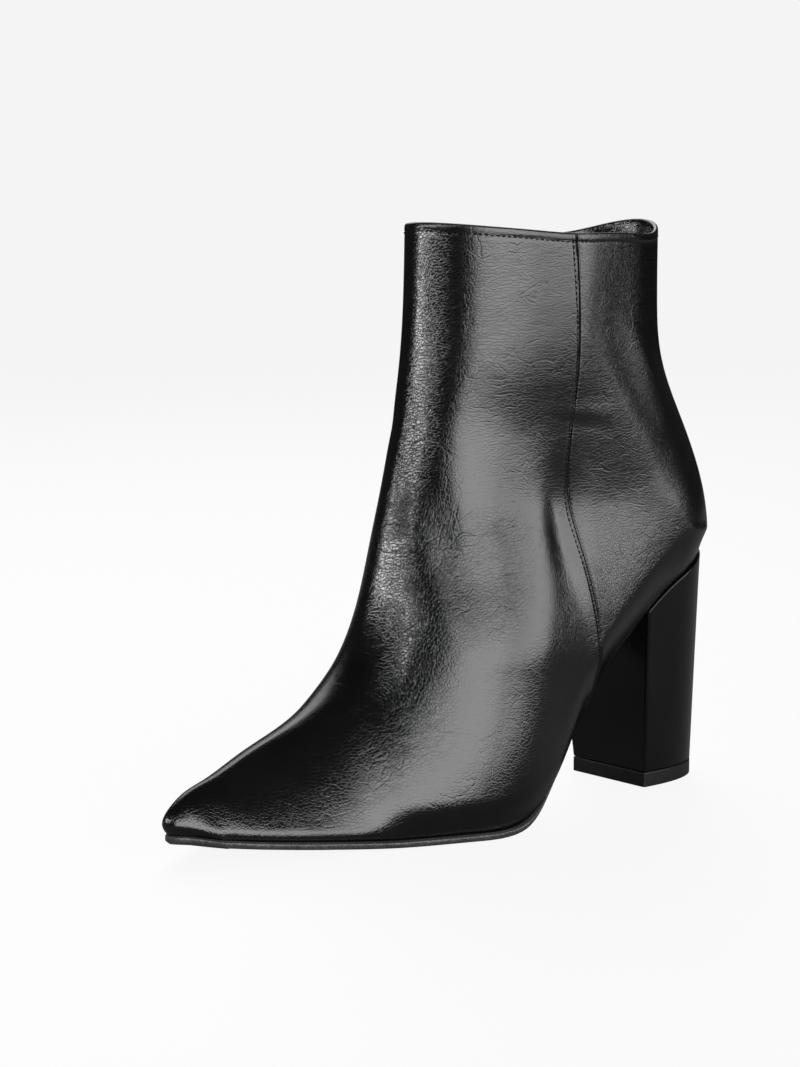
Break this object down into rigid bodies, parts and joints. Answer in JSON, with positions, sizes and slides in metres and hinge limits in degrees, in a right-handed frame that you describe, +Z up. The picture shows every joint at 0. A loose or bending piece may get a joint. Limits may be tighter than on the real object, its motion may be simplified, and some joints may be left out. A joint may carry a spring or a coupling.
{
  "type": "ankle boot",
  "caption": "Left ankle boot with a pointed toe, block heel and inner side zip; the hollow upper is open at the collar and closed underneath by a thin outsole.",
  "frame": {"origin": "on the floor under the middle of the boot's box", "axes": "+X from the toe towards the heel, +Y towards the inner side of the foot with the zip, +Z up"},
  "size_m": [0.2528, 0.0864, 0.2208],
  "materials": {
    "upper_leather": "black, finely grained, semi-gloss",
    "sole_rubber": "dark grey, satin",
    "heel_cover": "black, smooth, satin",
    "wear_rubber": "black, matt",
    "insole_lining": "black, matt",
    "zip_cloth": "black, woven",
    "zip_coil": "black, satin",
    "zip_metal": "polished"
  },
  "bodies": {
    "boot": {"upper": "upper_leather", "outsole": "sole_rubber", "heel_block": "heel_cover", "heel_top_piece": "wear_rubber", "insole": "insole_lining", "zip_tape": "zip_cloth", "zip_chain": "zip_coil", "zip_slider": "zip_metal"},
    "pull_tab": {"zip_pull": "zip_metal"}
  },
  "joints": [
    {"name": "pull_tab_swing", "type": "hinge", "parent": "boot", "child": "pull_tab", "pos_m": [0.02901, 0.04117, 0.20502], "axis": [0.9883, 0.1458, 0.0446], "range_deg": [0, 165]}
  ]
}
